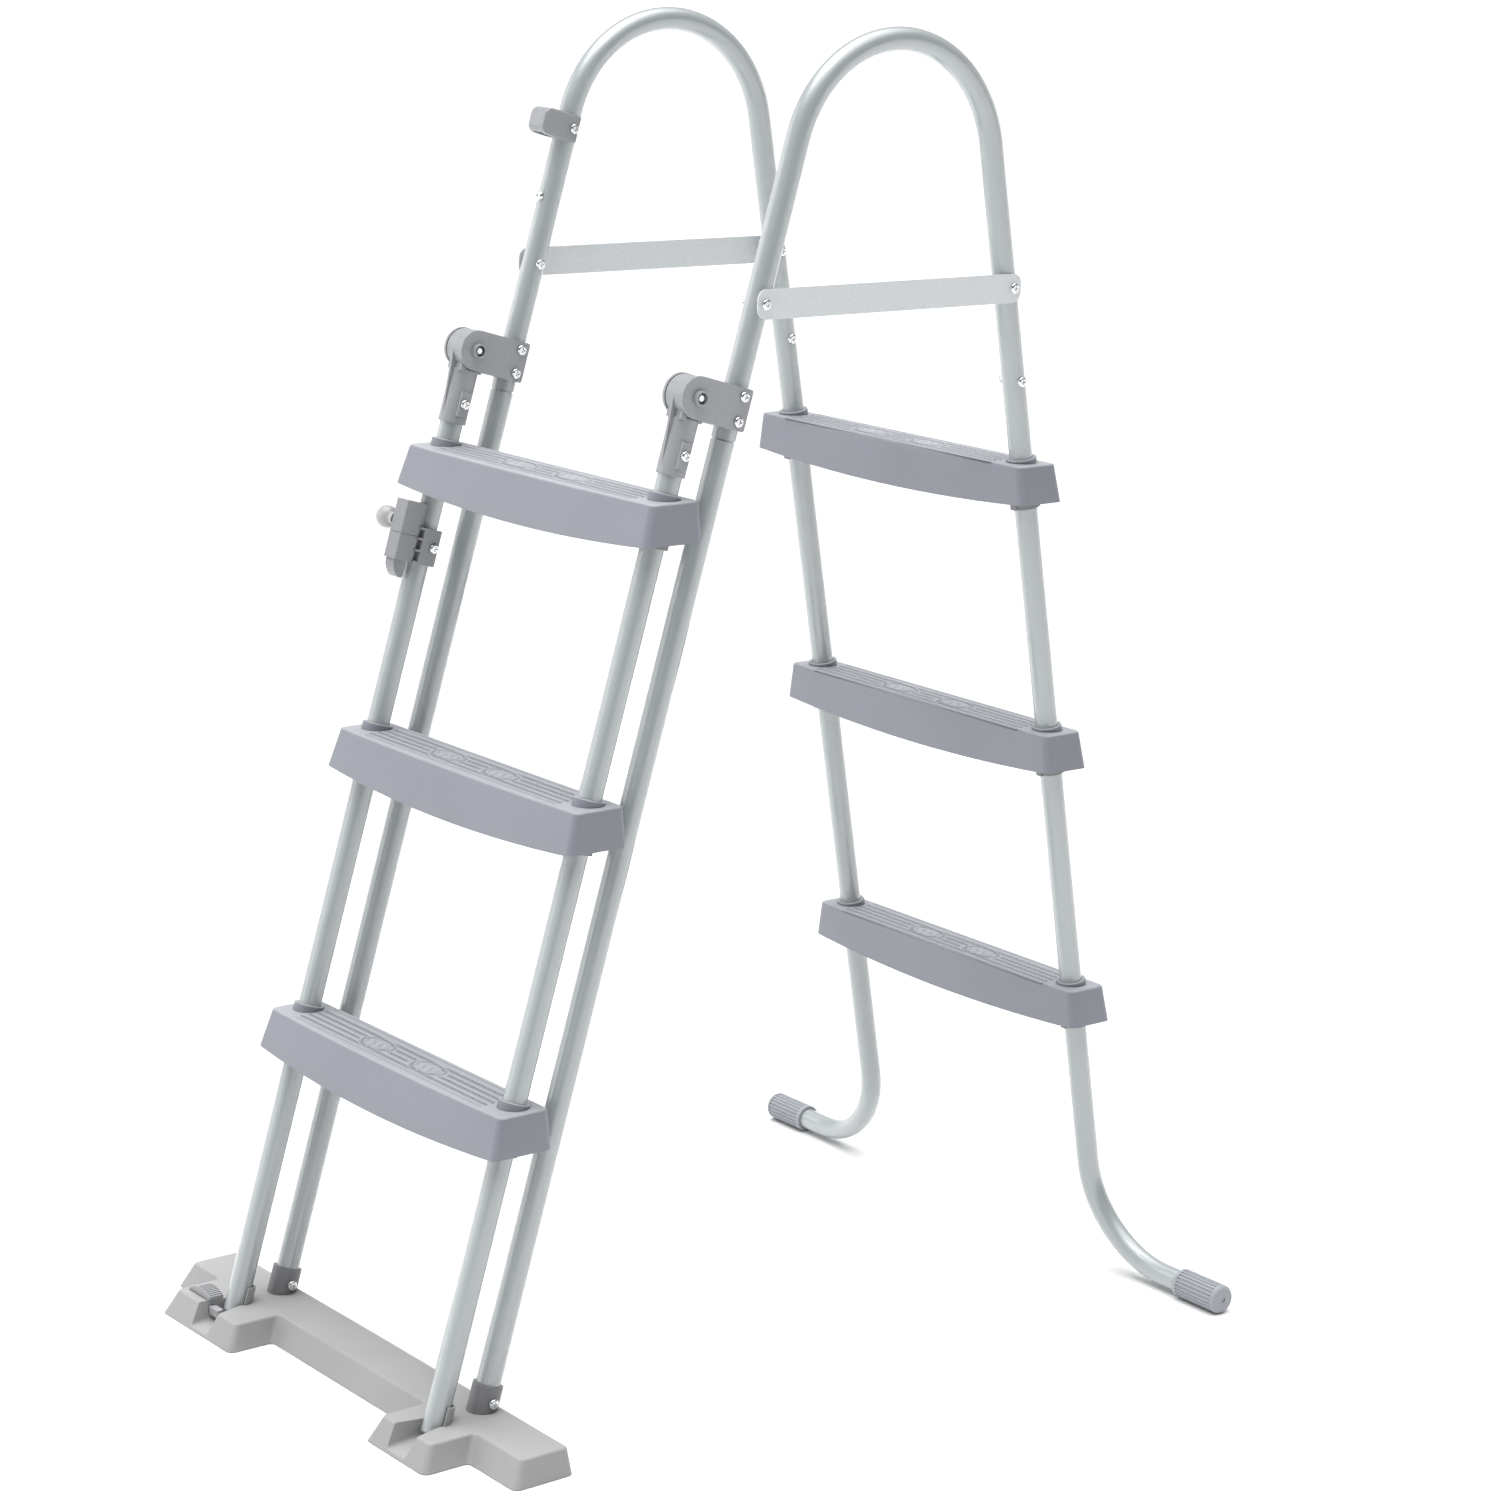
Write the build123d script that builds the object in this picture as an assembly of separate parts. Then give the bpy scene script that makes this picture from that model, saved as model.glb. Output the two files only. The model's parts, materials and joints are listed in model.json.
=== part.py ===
from build123d import *
import os
from math import atan, cos, degrees, pi, sin

# A free-standing ladder for an above-ground pool. Two tube arches carry three fixed treads on the pool
# side. On the ground side a flip-up ladder hangs on two pivot brackets and stands in a moulded base.
# +X is across the ladder, +Y points from the ground side to the pool side and +Z is up. The origin is
# on the floor, under the middle of the whole ladder. All sizes are in millimetres.

# Tubes
RAIL_GAUGE = 392.0  # between the left and right tube axes
TUBE_R = 12.7
TUBE_WALL = 1.2
NECK_R = 11.3  # reduced tube end that slides into the next tube
NECK_LENGTH = 60.0
ARCH_R = 135.0  # bend of the handrails, on the tube axis
FOOT_BEND_R = 112.0  # outward bend of the pool-side legs
OUTER_SLOPE = 0.285  # how far the ground-side legs lean in per millimetre of height
INNER_SLOPE = 0.188  # the same for the pool-side legs
LEG_SPREAD = 881.0  # ground-side to pool-side leg axis, on the floor
RAIL_GAP = 57.4  # the flip-up rails stand this far in front of the legs, measured level

# Treads
FIRST_TREAD = 348.0  # height of the lowest walking surface
TREAD_RISE = 304.8
TREAD_COUNT = 3
TREAD_HEIGHT = 41.0  # at the ends of a tread
TREAD_BELLY = 9.0  # how much deeper a tread is in its middle
TREAD_WALL = 3.0
COLLAR_R = 16.8
COLLAR_HEIGHT = 5.5

# Heights and lengths of the joints
PIVOT_HEIGHT = 1060.0
INNER_SEAM = 1009.0  # where the pool-side legs meet the arches
JOINT_BOLT_RISE = 39.0  # the joint bolts sit this far above that seam
BRACE_HEIGHT = 1149.0
BRACE_WIDTH = 31.0
BRACE_THICKNESS = 2.0

# Pivot brackets and rail sockets
CHEEK_R = 22.0
CHEEK_INNER = 13.1  # half the space between the cheeks
CHEEK_THICKNESS = 3.5
CHEEK_REAR = 10.5  # the cheeks end this far behind the leg axis
BRACKET_BOLT_OFFSET = 13.0
PIVOT_PIN_R = 5.0
RUNNING_CLEARANCE = 0.08
SOCKET_R = 15.2
SOCKET_BOTTOM = -82.0
SOCKET_SCREW = -60.0
RAIL_TOP = -30.0

# Base
BASE_HALF_LENGTH = 333.0
BASE_FRONT = 100.0  # the lobes reach this far in front of the leg axis on the floor
BAR_FRONT = 46.0
BAR_REAR = 28.0
BASE_HEIGHT = 27.0
FRONT_INSET = 15.0  # how much further in the top of the base is, on the side facing the climber
END_INSET = 10.0
REAR_INSET = 1.5
LEFT_LOBE = (78.0, 68.5)  # to the left and right of the rail axis; it is wider because it holds the latch
RIGHT_LOBE = (55.0, 55.0)
NOTCH_R = 14.0
NOTCH_FLOOR = 8.0
NOTCH_MOUTH_FLOOR = 2.5
NOTCH_MOUTH_HALF = 16.0  # on its floor
NOTCH_MOUTH_TOP_HALF = 25.0
SADDLE_TOP = 46.0
SLEEVE_R = 16.0
SLEEVE_TOP = 53.0

# Foot caps
CAP_R = 16.5
CAP_LENGTH = 66.0
CAP_END = 404.0
CAP_GROOVES = 24

# Stow latch, on the left rail, measured along the rail from the pivot
LATCH_MIDDLE = 208.0
BOLT_TRAVEL = 16.0
KNOB_R = 12.5
CATCH_MIDDLE = 259.0
CATCH_HEIGHT = 29.0
STOP_SCREW_HEIGHT = 1218.0

# Fasteners
BOLT_R = 2.9
BOLT_HOLE_R = 3.0
HEAD_R = 5.6
HEAD_HEIGHT = 3.4

# Worked out from the above
HALF_GAUGE = RAIL_GAUGE / 2
SIDES = {"left": -1, "right": 1}
LEVELS = {
    name: FIRST_TREAD + TREAD_RISE * i
    for i, name in enumerate(("bottom", "middle", "top"))
}
OUTER_LEAN = atan(OUTER_SLOPE)
INNER_LEAN = atan(INNER_SLOPE)
REAR_REACH = LEG_SPREAD + CAP_R * (1 - INNER_SLOPE)
LEG_FOOT_Y = BASE_FRONT - (BASE_FRONT + REAR_REACH) / 2
BRACKET_DEPTH = RAIL_GAP * cos(OUTER_LEAN)  # pivot axis to leg axis, square to the leg
LEG_PIVOT_HEIGHT = PIVOT_HEIGHT - BRACKET_DEPTH * sin(OUTER_LEAN)


def outer_y(z):
    return LEG_FOOT_Y + OUTER_SLOPE * z


def rail_y(z):
    return outer_y(z) - RAIL_GAP


def inner_y(z):
    return LEG_FOOT_Y + LEG_SPREAD - INNER_SLOPE * z


def outer_frame(x, z):
    """On a ground-side leg axis: local y points square to the leg, rearwards, and local z up it."""
    up = (0, sin(OUTER_LEAN), cos(OUTER_LEAN))
    return Plane(origin=(x, outer_y(z), z), x_dir=(1, 0, 0), z_dir=up)


def rail_frame(x, z):
    """On a flip-up rail axis, turned like outer_frame."""
    up = (0, sin(OUTER_LEAN), cos(OUTER_LEAN))
    return Plane(origin=(x, rail_y(z), z), x_dir=(1, 0, 0), z_dir=up)


def inner_frame(x, z):
    """On a pool-side leg axis, with local z up the leg."""
    up = (0, -sin(INNER_LEAN), cos(INNER_LEAN))
    return Plane(origin=(x, inner_y(z), z), x_dir=(1, 0, 0), z_dir=up)


def block(x0, x1, y0, y1, z0, z1):
    middle = ((x0 + x1) / 2, (y0 + y1) / 2, (z0 + z1) / 2)
    return Pos(*middle) * Box(x1 - x0, y1 - y0, z1 - z0)


def rod(r, z0, z1, x=0, y=0):
    return Pos(x, y, (z0 + z1) / 2) * Cylinder(r, z1 - z0)


def cross_rod(r, x0, x1, y=0, z=0):
    return Pos((x0 + x1) / 2, y, z) * Rot(0, 90, 0) * Cylinder(r, x1 - x0)


def ring(r_outer, r_inner, z0, z1):
    return rod(r_outer, z0, z1) - rod(r_inner, z0 - 1, z1 + 1)


def swept_tube(start, direction, path):
    section = Plane(origin=start, z_dir=direction) * (Circle(TUBE_R) - Circle(TUBE_R - TUBE_WALL))
    return sweep(section, path=path)


def neck():
    """Reduced tube end above a seam at z = 0, with the shoulder that joins it to the full tube."""
    bore = NECK_R - TUBE_WALL
    return ring(TUBE_R, bore, -4, 0) + ring(NECK_R, bore, -4, NECK_LENGTH)


def pan_screw(length, shank_r=BOLT_R):
    """Cross-head screw along X: the head's underside is at x = 0 and the shank runs to -X."""
    head = cross_rod(HEAD_R, 0, HEAD_HEIGHT)
    head = fillet(head.edges().group_by(Axis.X)[-1], HEAD_HEIGHT * 0.6)
    slot = block(HEAD_HEIGHT - 1.6, HEAD_HEIGHT + 1, -3, 3, -0.65, 0.65)
    recess = slot + Rot(90, 0, 0) * slot
    return head + cross_rod(shank_r, -length, 0) - recess


def cap_nut():
    """Hexagon nut with a domed end, its face at x = 0 and its dome towards -X."""
    width = 5.6
    hexagon = extrude(Plane.YZ * RegularPolygon(width, 6), amount=-4.5)
    dome = (Pos(-4.5, 0, 0) * Sphere(4.7)) & block(-10, -4, -6, 6, -6, 6)
    return hexagon + dome - cross_rod(BOLT_R + 0.05, -6.5, 1)


def arch_points(x):
    """Tangent points and crown of the arch on the tube axis."""
    apex_z = LEG_SPREAD / (OUTER_SLOPE + INNER_SLOPE)
    half_angle = (OUTER_LEAN + INNER_LEAN) / 2
    tilt = (INNER_LEAN - OUTER_LEAN) / 2
    reach = ARCH_R / sin(half_angle)
    y = outer_y(apex_z) + reach * sin(tilt)
    z = apex_z - reach * cos(tilt)
    outer = (x, y - ARCH_R * cos(OUTER_LEAN), z + ARCH_R * sin(OUTER_LEAN))
    crown = (x, y, z + ARCH_R)
    inner = (x, y + ARCH_R * cos(INNER_LEAN), z + ARCH_R * sin(INNER_LEAN))
    return outer, crown, inner


HANDRAIL_END = -33.0  # the arches end below the bracket cheeks
SEAM_GAP = 2.0  # bare neck between an arch and the leg below it
LEG_SEAM_HEIGHT = LEG_PIVOT_HEIGHT + (HANDRAIL_END - SEAM_GAP) * cos(OUTER_LEAN)
LEG_BOTTOM = 11.0


def handrail(x):
    outer, crown, inner = arch_points(x)
    start_z = LEG_PIVOT_HEIGHT + HANDRAIL_END * cos(OUTER_LEAN)
    start = (x, outer_y(start_z), start_z)
    end = (x, inner_y(INNER_SEAM), INNER_SEAM)
    path = Line(start, outer) + ThreePointArc(outer, crown, inner) + Line(inner, end)
    tube = swept_tube(start, (0, sin(OUTER_LEAN), cos(OUTER_LEAN)), path)
    hole = cross_rod(BOLT_HOLE_R, -20, 20)
    for offset in (-BRACKET_BOLT_OFFSET, BRACKET_BOLT_OFFSET):
        tube -= outer_frame(x, LEG_PIVOT_HEIGHT) * Pos(0, 0, offset) * hole
    tube -= Pos(x, outer_y(BRACE_HEIGHT), BRACE_HEIGHT) * hole
    tube -= Pos(x, inner_y(BRACE_HEIGHT), BRACE_HEIGHT) * hole
    tube -= inner_frame(x, INNER_SEAM) * Pos(0, 0, JOINT_BOLT_RISE) * hole
    if x < 0:
        screw_hole = cross_rod(SELF_TAP_R, 0, 20)
        tube -= catch_frame() * screw_hole
        tube -= stop_screw_place() * cross_rod(SELF_TAP_R, -20, 0)
    return tube


def outer_leg(x):
    top = outer_frame(x, LEG_SEAM_HEIGHT)
    length = (LEG_SEAM_HEIGHT - LEG_BOTTOM) / cos(OUTER_LEAN)
    leg = ring(TUBE_R, TUBE_R - TUBE_WALL, -length, 0) + neck()
    hole = cross_rod(BOLT_HOLE_R, -20, 20)
    rise = (LEG_PIVOT_HEIGHT - LEG_SEAM_HEIGHT) / cos(OUTER_LEAN)
    for offset in (-BRACKET_BOLT_OFFSET, BRACKET_BOLT_OFFSET):
        leg -= Pos(0, 0, rise + offset) * hole
    leg = top * leg
    return leg - sleeve_screw_place(x) * cross_rod(SELF_TAP_R, -20, 0)


def inner_leg(x):
    side = 1 if x > 0 else -1
    bend_z = CAP_R + FOOT_BEND_R * cos(INNER_LEAN)
    down = Vector(0, sin(INNER_LEAN), -cos(INNER_LEAN))
    out = Vector(side, 0, 0)
    top = Vector(x, inner_y(INNER_SEAM), INNER_SEAM)
    bend_start = Vector(x, inner_y(bend_z), bend_z)
    centre = bend_start + out * FOOT_BEND_R
    bend_middle = centre + (down - out) * (FOOT_BEND_R / 2**0.5)
    bend_end = centre + down * FOOT_BEND_R
    end = Vector(side * (CAP_END - 14), bend_end.Y, bend_end.Z)
    path = Line(top, bend_start) + ThreePointArc(bend_start, bend_middle, bend_end) + Line(bend_end, end)
    tube = swept_tube(top, down, path) + inner_frame(x, INNER_SEAM) * neck()
    hole = cross_rod(BOLT_HOLE_R, -20, 20)
    return tube - inner_frame(x, INNER_SEAM) * Pos(0, 0, JOINT_BOLT_RISE) * hole


def foot_cap(side):
    """Rubber cap along X, grooved lengthwise, with the leg's end 14 mm short of its tip."""
    cap = cross_rod(CAP_R, CAP_END - CAP_LENGTH, CAP_END)
    cap = fillet(cap.edges().group_by(Axis.X)[-1], 5)
    cap = chamfer(cap.edges().group_by(Axis.X)[0], 0.8)
    cap -= cross_rod(TUBE_R, CAP_END - CAP_LENGTH - 1, CAP_END - 14)
    for i in range(CAP_GROOVES):
        angle = 2 * pi * (i + 0.5) / CAP_GROOVES
        y, z = (CAP_R + 0.2) * cos(angle), (CAP_R + 0.2) * sin(angle)
        cap -= cross_rod(1.3, CAP_END - CAP_LENGTH + 5, CAP_END - 6, y, z)
    cap -= cross_rod(2.8, CAP_END - 1.2, CAP_END + 1)
    cap = Pos(0, inner_y(CAP_R), CAP_R) * cap
    return cap if side > 0 else mirror(cap, about=Plane.YZ)


def side_brace(side):
    """Flat strip outboard of an arch, with a bolt hole in each rounded end."""
    y0, y1 = outer_y(BRACE_HEIGHT), inner_y(BRACE_HEIGHT)
    length = y1 - y0 + 2 * 10
    strip = Plane.YZ * Pos((y0 + y1) / 2, BRACE_HEIGHT) * RectangleRounded(length, BRACE_WIDTH, 11)
    for y in (y0, y1):
        strip -= Plane.YZ * Pos(y, BRACE_HEIGHT) * Circle(BOLT_HOLE_R)
    x = side * (HALF_GAUGE + TUBE_R + 0.05)
    return Pos(x, 0, 0) * extrude(strip, amount=side * BRACE_THICKNESS)


def side_brace_bolts():
    """Heads face +X on both sides, nuts face -X."""
    screws, nuts = [], []
    for side in SIDES.values():
        for y in (outer_y(BRACE_HEIGHT), inner_y(BRACE_HEIGHT)):
            strip = BRACE_THICKNESS + 0.05
            head_x = side * HALF_GAUGE + TUBE_R + (strip if side > 0 else 0)
            nut_x = side * HALF_GAUGE - TUBE_R - (strip if side < 0 else 0)
            screws.append(Pos(head_x, y, BRACE_HEIGHT) * pan_screw(head_x - nut_x + 6))
            nuts.append(Pos(nut_x, y, BRACE_HEIGHT) * cap_nut())
    return screws, nuts


def joint_bolts():
    screws, nuts = [], []
    for side in SIDES.values():
        place = inner_frame(side * HALF_GAUGE, INNER_SEAM) * Pos(0, 0, JOINT_BOLT_RISE)
        screws.append(place * Pos(TUBE_R, 0, 0) * pan_screw(2 * TUBE_R + 6))
        nuts.append(place * Pos(-TUBE_R, 0, 0) * cap_nut())
    return screws, nuts


# Pivot: brackets on the arches, sockets on the flip-up ladder. Both are drawn around the pivot axis,
# with local y towards the leg and local z up along it.
CHEEK_OUTER = CHEEK_INNER + CHEEK_THICKNESS
BOSS_R = 8.0
BOSS_HEIGHT = 5.4
BOSS_RECESS_R = 6.1
BOSS_RECESS_BOTTOM = CHEEK_OUTER - 1.0
PIN_END_R = 3.7
BARREL_R = CHEEK_R - 0.6
BARREL_HALF = CHEEK_INNER - 0.5


def pivot_bracket(x):
    rear = BRACKET_DEPTH + CHEEK_REAR
    plate = Circle(CHEEK_R) + Pos(rear / 2, 0) * Rectangle(rear, 2 * CHEEK_R)
    corners = plate.vertices().filter_by(lambda v: v.X > rear - 1)
    plate = fillet(corners, 3)
    cheek = extrude(Plane.YZ * plate, amount=CHEEK_THICKNESS)
    boss = cross_rod(BOSS_R, CHEEK_THICKNESS, CHEEK_THICKNESS + BOSS_HEIGHT)
    boss = fillet(boss.edges().group_by(Axis.X)[-1], 0.8)
    near = Pos(CHEEK_INNER, 0, 0) * (cheek + boss)
    bracket = near + mirror(near, about=Plane.YZ)
    web_front = BARREL_R + 8
    bracket += block(-CHEEK_INNER, CHEEK_INNER, web_front, BRACKET_DEPTH - 8, -CHEEK_R, CHEEK_R)
    bracket -= rod(TUBE_R + 0.05, -40, 40, y=BRACKET_DEPTH)
    bracket -= cross_rod(PIVOT_PIN_R, -30, 30)
    for side in (-1, 1):
        recess = cross_rod(BOSS_RECESS_R, BOSS_RECESS_BOTTOM, BOSS_RECESS_BOTTOM + 10)
        bracket -= recess if side > 0 else mirror(recess, about=Plane.YZ)
    for offset in (-BRACKET_BOLT_OFFSET, BRACKET_BOLT_OFFSET):
        bracket -= cross_rod(BOLT_HOLE_R, -30, 30, BRACKET_DEPTH, offset)
    return rail_frame(x, PIVOT_HEIGHT) * bracket


def pivot_pin(x):
    pin = cross_rod(PIVOT_PIN_R, -BOSS_RECESS_BOTTOM, BOSS_RECESS_BOTTOM)
    end = cross_rod(PIN_END_R, -CHEEK_OUTER - 3.4, CHEEK_OUTER + 3.4)
    pin += chamfer(end.edges().filter_by(GeomType.CIRCLE), 0.6)
    return rail_frame(x, PIVOT_HEIGHT) * pin


def bracket_bolts():
    screws, nuts = [], []
    for side in SIDES.values():
        frame = rail_frame(side * HALF_GAUGE, PIVOT_HEIGHT)
        for offset in (-BRACKET_BOLT_OFFSET, BRACKET_BOLT_OFFSET):
            place = frame * Pos(0, BRACKET_DEPTH, offset)
            screws.append(place * Pos(CHEEK_OUTER, 0, 0) * pan_screw(2 * CHEEK_OUTER + 6))
            nuts.append(place * Pos(-CHEEK_OUTER, 0, 0) * cap_nut())
    return screws, nuts


def rail_socket(x):
    barrel = cross_rod(BARREL_R, -BARREL_HALF, BARREL_HALF)
    barrel = fillet(barrel.edges().filter_by(GeomType.CIRCLE), 1)
    shank_top = -(CHEEK_R + 0.8)
    socket = barrel + block(-BARREL_HALF, BARREL_HALF, -SOCKET_R + 1.5, SOCKET_R - 1.5, shank_top - 2, -10)
    shank = rod(SOCKET_R, SOCKET_BOTTOM, shank_top)
    shank = fillet(shank.edges().group_by(Axis.Z)[0], 1)
    socket += shank
    socket += block(0, SOCKET_R + 1, -6.5, 6.5, SOCKET_SCREW - 14, SOCKET_SCREW + 14)
    gusset = Polyline((-BARREL_R, 0), (-SOCKET_R, -72), (-SOCKET_R + 3, -72), (-SOCKET_R + 3, 0), close=True)
    socket += extrude(Plane.YZ * make_face(gusset), amount=1.5, both=True)
    socket -= rod(TUBE_R + 0.05, SOCKET_BOTTOM - 1, RAIL_TOP + 0.5)
    socket -= cross_rod(PIVOT_PIN_R + RUNNING_CLEARANCE, -20, 20)
    socket -= cross_rod(SELF_TAP_R, 0, 20, 0, SOCKET_SCREW)
    return rail_frame(x, PIVOT_HEIGHT) * socket


# Self-tapping screws
SELF_TAP_R = 2.3
SELF_TAP_LENGTH = 11.0


def self_tap():
    return pan_screw(SELF_TAP_LENGTH, SELF_TAP_R)


def rail_socket_screws():
    place = Pos(SOCKET_R + 1, 0, SOCKET_SCREW)
    return [rail_frame(side * HALF_GAUGE, PIVOT_HEIGHT) * place * self_tap() for side in SIDES.values()]


RAIL_BOTTOM_HEIGHT = 15.0  # of the plug's middle; its rear edge comes 1 mm above the notch floor
PLUG_THICKNESS = 2.5
RAIL_LENGTH = (PIVOT_HEIGHT - RAIL_BOTTOM_HEIGHT) / cos(OUTER_LEAN)


def step_rail(x):
    tube = ring(TUBE_R, TUBE_R - TUBE_WALL, -RAIL_LENGTH + PLUG_THICKNESS, RAIL_TOP)
    tube -= cross_rod(SELF_TAP_R, 0, 20, 0, SOCKET_SCREW)
    if x < 0:
        tube -= cross_rod(SELF_TAP_R, 0, 20, LATCH_SCREW_Y, -LATCH_MIDDLE + LATCH_SCREW_Z)
    return rail_frame(x, PIVOT_HEIGHT) * tube


def rail_plug(x):
    plug = rod(TUBE_R, -RAIL_LENGTH, -RAIL_LENGTH + PLUG_THICKNESS)
    plug = chamfer(plug.edges().group_by(Axis.Z)[0], 1)
    plug += rod(TUBE_R - TUBE_WALL, -RAIL_LENGTH + PLUG_THICKNESS, -RAIL_LENGTH + 16)
    return rail_frame(x, PIVOT_HEIGHT) * plug


# Treads. y is measured from the tube axis at the walking surface, towards the pool.
class TreadShape:
    def __init__(self, front, rear, front_bottom, rear_bottom, half_length, bow, slope):
        self.top = (half_length, front, rear, bow)
        self.bottom = (half_length + 6, front_bottom, rear_bottom, bow)
        self.slope = slope
        self.lean = atan(slope)

    def outline(self, z, inset=0.0):
        """Section at height z, extended in a straight line past the two given ones."""
        share = -z / TREAD_HEIGHT
        half, front, rear, bow = (a + (b - a) * share for a, b in zip(self.top, self.bottom))
        half, front, rear = half - inset, front + inset, rear - inset
        edge = ThreePointArc((-half, front), (0, front - bow), (half, front))
        rest = Polyline((half, front), (half, rear), (-half, rear), (-half, front))
        face = make_face(edge + rest)
        return Pos(0, 0, z) * fillet(face.vertices(), 9 - inset)


OUTER_TREAD = TreadShape(-33, 28, -45.5, 28, 222, 5, OUTER_SLOPE)
INNER_TREAD = TreadShape(-27, 27, -27, 33.5, 224, 4, -INNER_SLOPE)
RIB_PITCH = 52.0
BOSS_BOTTOM = -TREAD_HEIGHT - 2


def tube_place(shape, x):
    return Pos(x, 0, 0) * Rot(-degrees(shape.lean), 0, 0)


def tread(shape):
    """Moulded tread: a drafted shell, open below, with cross ribs and a collar round each tube."""
    depth = -TREAD_HEIGHT - TREAD_BELLY - 2
    shell = loft([shape.outline(0), shape.outline(depth)])
    shell = fillet(shell.edges().group_by(Axis.Z)[-1], 3)
    hollow = loft([shape.outline(-TREAD_WALL, TREAD_WALL), shape.outline(depth - 1, TREAD_WALL)])
    long_rib = HALF_GAUGE - COLLAR_R + 0.3
    ribs = block(-long_rib, long_rib, -3, -1, depth, -TREAD_WALL)
    for i in range(-3, 4):
        ribs += block(i * RIB_PITCH - 1, i * RIB_PITCH + 1, -60, 60, depth + 6, -TREAD_WALL)
    body = shell - hollow + (ribs & hollow)
    half = shape.bottom[0] + 5
    belly = ThreePointArc((-half, -TREAD_HEIGHT), (0, -TREAD_HEIGHT - TREAD_BELLY), (half, -TREAD_HEIGHT))
    under = Polyline((half, -TREAD_HEIGHT), (half, -90), (-half, -90), (-half, -TREAD_HEIGHT))
    body -= extrude(Plane.XZ * make_face(belly + under), amount=90, both=True)
    collar = rod(COLLAR_R, -6, COLLAR_HEIGHT)
    collar = fillet(collar.edges().group_by(Axis.Z)[-1], 1.5)
    for side in SIDES.values():
        place = tube_place(shape, side * HALF_GAUGE)
        body += place * collar
        body += place * rod(COLLAR_R, BOSS_BOTTOM, -5)
        body -= place * rod(TUBE_R + 0.05, -80, 30)
    return body


def lock_rings(shape):
    """Split ring under each collar that keeps the tread from sliding down its tube."""
    split = block(-1.5, 1.5, 0, 30, -80, 0)
    lug = block(-4, 4, -COLLAR_R - 1.8, -TUBE_R - 1, BOSS_BOTTOM - 7, BOSS_BOTTOM)
    body = ring(COLLAR_R - 0.6, TUBE_R + 0.05, BOSS_BOTTOM - 7, BOSS_BOTTOM) - split + lug
    return [tube_place(shape, side * HALF_GAUGE) * body for side in SIDES.values()]


# Stow latch. It is drawn in the left rail's frame, with z = 0 at LATCH_MIDDLE below the pivot.
HOUSING_HALF = 12.0
HOUSING_FRONT = -38.0
HOUSING_BOTTOM = -31.0
HOUSING_TOP = 34.0
BOLT_HALF = 8.0
BOLT_FRONT = -36.0
BOLT_REAR = -20.0
BOLT_NOSE = -50.0
BOLT_TOP = 14.5
KNOB_X = -30.0
KNOB_Y = -32.0
KNOB_Z = 10.5
STEM_R = 3.2
KNOB_NECK_R = 7.0
SPRING_Y = (BOLT_FRONT + BOLT_REAR) / 2 + 1.0
LATCH_SCREW_Y = 5.0
LATCH_SCREW_Z = -11.0
CLAMP_OUTER = TUBE_R + 3.6
CLAMP_TOP = 9.0


def latch_frame():
    return rail_frame(-HALF_GAUGE, PIVOT_HEIGHT) * Pos(0, 0, -LATCH_MIDDLE)


def stow_latch_housing():
    body = block(-HOUSING_HALF, HOUSING_HALF, HOUSING_FRONT, -TUBE_R + 2, HOUSING_BOTTOM, HOUSING_TOP)
    body = fillet(body.edges().filter_by(Axis.Z).group_by(Axis.Y)[0], 2.5)
    groove = block(-13, 13, HOUSING_FRONT - 1, -10, -2.4, -1.8)
    body -= groove - block(-11.5, 11.5, HOUSING_FRONT + 0.5, -9, -3, -1)
    for side in (-1, 1):
        low, high = min(side * 9.5, side * 12.5), max(side * 9.5, side * 12.5)
        body -= block(low, high, -15.5, -10, HOUSING_BOTTOM - 1, HOUSING_TOP + 1)
        inner = side * (TUBE_R + 0.1)
        outer = side * CLAMP_OUTER
        low, high = min(inner, outer), max(inner, outer)
        body += block(low, high, -11, 11, HOUSING_BOTTOM, CLAMP_TOP)
        low, high = min(side * 8, outer), max(side * 8, outer)
        for z in (HOUSING_BOTTOM, -18, -5, CLAMP_TOP - 2.5):
            body += block(low, high, -16, -10, z, z + 2.5)
    body -= rod(TUBE_R + 0.05, -60, 60)
    gap = 0.3
    chamber = block(-BOLT_HALF - gap, BOLT_HALF + gap, BOLT_FRONT - gap, BOLT_REAR + gap, -60, HOUSING_TOP - 3)
    body -= chamber
    slot_top = KNOB_Z + BOLT_TRAVEL + STEM_R + 0.8
    slot_bottom = KNOB_Z - STEM_R - 0.8
    body -= block(-20, 0, KNOB_Y - STEM_R - 0.4, KNOB_Y + STEM_R + 0.4, slot_bottom, slot_top)
    body -= cross_rod(SELF_TAP_R, 0, 20, LATCH_SCREW_Y, LATCH_SCREW_Z)
    return latch_frame() * body


def stow_bolt():
    """Spring bolt whose nose is sloped on the side that meets the catch first."""
    side_view = Polyline(
        (BOLT_REAR, BOLT_TOP), (BOLT_FRONT, BOLT_TOP), (BOLT_FRONT, HOUSING_BOTTOM - 3)
    ) + ThreePointArc((BOLT_FRONT, HOUSING_BOTTOM - 3), (-33, -43), (-26, BOLT_NOSE)) + Polyline(
        (-26, BOLT_NOSE), (BOLT_REAR - 1.5, BOLT_NOSE), (BOLT_REAR, BOLT_NOSE + 4), (BOLT_REAR, BOLT_TOP)
    )
    bolt = extrude(Plane.YZ * make_face(side_view), amount=BOLT_HALF, both=True)
    bolt -= rod(4.4, BOLT_TOP - 20, BOLT_TOP + 1, y=SPRING_Y)
    bolt += cross_rod(STEM_R, KNOB_X - 3, -BOLT_HALF + 1, KNOB_Y, KNOB_Z)
    return latch_frame() * bolt


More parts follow.
